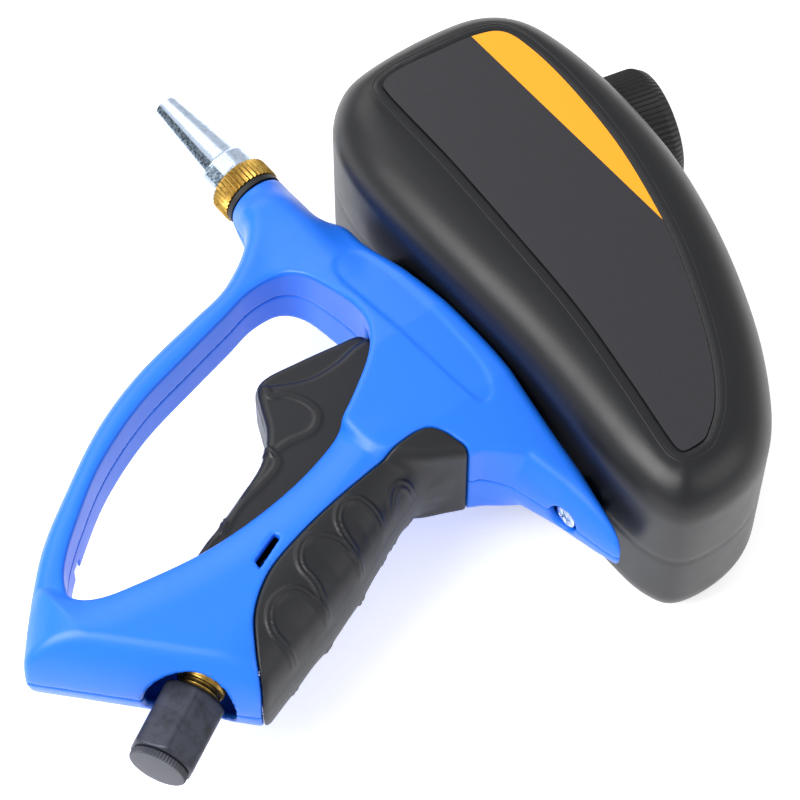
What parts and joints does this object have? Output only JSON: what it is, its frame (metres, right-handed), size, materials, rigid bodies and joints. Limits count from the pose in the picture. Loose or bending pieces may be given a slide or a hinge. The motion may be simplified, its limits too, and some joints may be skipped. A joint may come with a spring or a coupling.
{
  "type": "gravity-feed abrasive blaster gun",
  "caption": "Handheld air-powered abrasive blaster: pistol body with hand guard, squeeze trigger, rubber rear grip, steel nozzle and a media tank on top.",
  "frame": {"origin": "middle of the whole gun's footprint, on the surface it lies on", "axes": "+Z from the gun's right side to its left side, nozzle towards -X, tank towards +Y"},
  "size_m": [0.2346, 0.2812, 0.075],
  "materials": {
    "abs_shell": "smooth moulded ABS, satin gloss",
    "soft_grip": "moulded thermoplastic rubber with raised loops",
    "black_nylon": "moulded nylon, light satin",
    "tank_plastic": "blow-moulded polyethylene, fine satin",
    "zinc_steel": "turned steel, bright zinc plate",
    "brass": "turned and knurled brass",
    "black_oxide_steel": "black oxide steel, worn corners",
    "nitrile": "nitrile rubber",
    "dust_cap_plastic": "soft grey polyethylene",
    "label_film": "printed film, dark field with a plain yellow band"
  },
  "bodies": {
    "gun": {"housing_left": "abs_shell", "housing_right": "abs_shell", "housing_screws": "zinc_steel", "rear_grip": "soft_grip", "trigger_pin": "zinc_steel", "valve_body": "brass", "valve_plug": "brass", "inlet_tube": "zinc_steel", "inlet_adapter": "brass", "inlet_fitting": "black_oxide_steel", "outlet_tube": "zinc_steel", "mixing_chamber": "brass", "chamber_gasket": "nitrile", "air_jet": "brass", "nozzle_washer": "nitrile", "tank": "tank_plastic", "tank_insert": "brass", "tank_screw": "zinc_steel", "tank_label": "label_film"},
    "trigger": {"trigger": "black_nylon"},
    "valve_stem": {"valve_stem": "zinc_steel", "valve_seal": "nitrile", "valve_spring": "zinc_steel"},
    "nozzle": {"nozzle": "zinc_steel"},
    "nozzle_ring": {"nozzle_ring": "brass"},
    "cap_carrier": {"filler_seal": "nitrile"},
    "filler_cap": {"filler_cap": "black_nylon"},
    "dust_cap": {"inlet_cap": "dust_cap_plastic"}
  },
  "joints": [
    {"name": "trigger_squeeze", "type": "hinge", "parent": "gun", "child": "trigger", "pos_m": [0.03675, -0.08254, 0.0375], "axis": [0, 0, -1], "range_deg": [0, 6], "stiffness_Nm_per_rad": 4, "springref_deg": -5.73},
    {"name": "stem_push", "type": "slide", "parent": "gun", "child": "valve_stem", "axis": [1, 0, 0], "range_m": [0, 0.0038]},
    {"name": "nozzle_out", "type": "slide", "parent": "gun", "child": "nozzle", "axis": [-1, 0, 0], "range_m": [0, 0.003]},
    {"name": "ring_turn", "type": "hinge", "parent": "nozzle", "child": "nozzle_ring", "pos_m": [-0.06225, 0.01546, 0.0375], "axis": [-1, 0, 0], "range_deg": [0, 720]},
    {"name": "cap_rise", "type": "slide", "parent": "gun", "child": "cap_carrier", "axis": [0.2672, 0.9636, 0], "range_m": [0, 0.0114]},
    {"name": "cap_turn", "type": "hinge", "parent": "cap_carrier", "child": "filler_cap", "pos_m": [-0.01575, 0.11646, 0.0375], "axis": [0.2672, 0.9636, 0], "range_deg": [0, 900]},
    {"name": "dust_cap_pull", "type": "slide", "parent": "gun", "child": "dust_cap", "axis": [0.454, -0.891, 0], "range_m": [0, 0.03]}
  ],
  "couplings": [
    {"joint": "stem_push", "follows": "trigger_squeeze", "m_per_rad": 0.036},
    {"joint": "ring_turn", "follows": "nozzle_out", "rad_per_m": 4188.8},
    {"joint": "cap_rise", "follows": "cap_turn", "m_per_rad": 0.000716}
  ]
}
